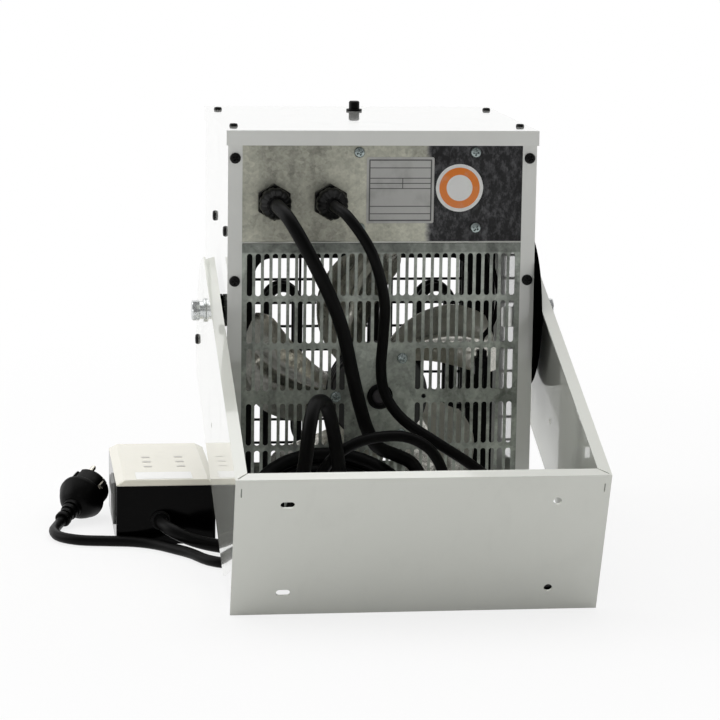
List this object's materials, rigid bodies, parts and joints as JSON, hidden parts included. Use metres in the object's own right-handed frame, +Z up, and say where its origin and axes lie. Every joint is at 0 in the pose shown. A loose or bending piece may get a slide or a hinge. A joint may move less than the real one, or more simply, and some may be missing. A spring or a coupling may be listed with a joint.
{
  "type": "industrial fan heater",
  "caption": "Square sheet-metal fan heater with a slotted inlet, an axial fan, tubular elements, a swing bracket, and a corded control box and mains plug.",
  "frame": {"origin": "centre of the casing underside, on the floor", "axes": "+Z up; -Y out of the slotted inlet at the back, +Y out of the outlet; +X to the right when looking at the inlet"},
  "size_m": [0.4512, 0.5145, 0.3792],
  "materials": {
    "white_paint": "gloss",
    "zinc_sheet": "mottled galvanised",
    "zinc_fastener": "bright zinc",
    "black_fastener": "satin",
    "black_plastic": "satin",
    "black_gloss_plastic": "gloss",
    "ivory_plastic": "gloss",
    "grey_plastic": "satin",
    "cord_rubber": "matt",
    "fan_aluminium": "pressed",
    "shaft_steel": "ground",
    "motor_paint": "satin",
    "element_steel": "heat darkened",
    "dark_sheet": "satin",
    "brass_nut": "machined",
    "guard_wire": "satin",
    "terminal_ivory": "matt",
    "plug_metal": "nickel"
  },
  "bodies": {
    "heater": {"casing": "white_paint", "lid": "white_paint", "front_panel": "white_paint", "front_guard": "guard_wire", "terminal_cover": "zinc_sheet", "inlet_panel": "zinc_sheet", "partition": "zinc_sheet", "motor": "motor_paint", "motor_grommet": "cord_rubber", "motor_screws": "zinc_fastener", "element_frame": "dark_sheet", "heating_tubes": "element_steel", "element_nuts": "brass_nut", "thermostat": "grey_plastic", "reset_collar": "black_plastic", "terminal_block": "terminal_ivory", "connector": "black_plastic", "inner_wire": "cord_rubber", "gland_control": "black_plastic", "gland_power": "black_plastic", "rim_screws": "black_fastener", "cover_screws": "zinc_fastener", "lid_screws": "black_fastener", "side_screws": "black_fastener", "pivot_bolts": "zinc_fastener", "pivot_washers": "zinc_fastener", "toothed_discs": "black_plastic", "friction_disc": "black_plastic", "box_base": "black_gloss_plastic", "box_lid": "ivory_plastic", "box_latch": "grey_plastic", "gland_box": "black_plastic", "control_cord_upper": "cord_rubber", "control_coil": "cord_rubber", "control_cord_lower": "cord_rubber", "power_cord_upper": "cord_rubber", "power_coil": "cord_rubber", "power_cord_lower": "cord_rubber", "plug_boot": "cord_rubber", "plug_body": "black_plastic", "plug_pins": "plug_metal"},
    "bracket": {"bracket": "white_paint"},
    "rotor": {"motor_shaft": "shaft_steel", "fan_hub": "fan_aluminium", "fan_blades": "fan_aluminium"},
    "button": {"reset_button": "black_plastic"}
  },
  "joints": [
    {"name": "bracket_swing", "type": "hinge", "parent": "heater", "child": "bracket", "pos_m": [0, -0.075, 0.206], "axis": [-1, 0, 0], "range_deg": [0, 230]},
    {"name": "fan_spin", "type": "hinge", "parent": "heater", "child": "rotor", "pos_m": [0, -0.0568, 0.136], "axis": [0, 1, 0], "continuous": true},
    {"name": "reset_press", "type": "slide", "parent": "heater", "child": "button", "axis": [0, 0, -1], "range_m": [0, 0.002], "stiffness_N_per_m": 400, "springref_m": -0.001}
  ]
}
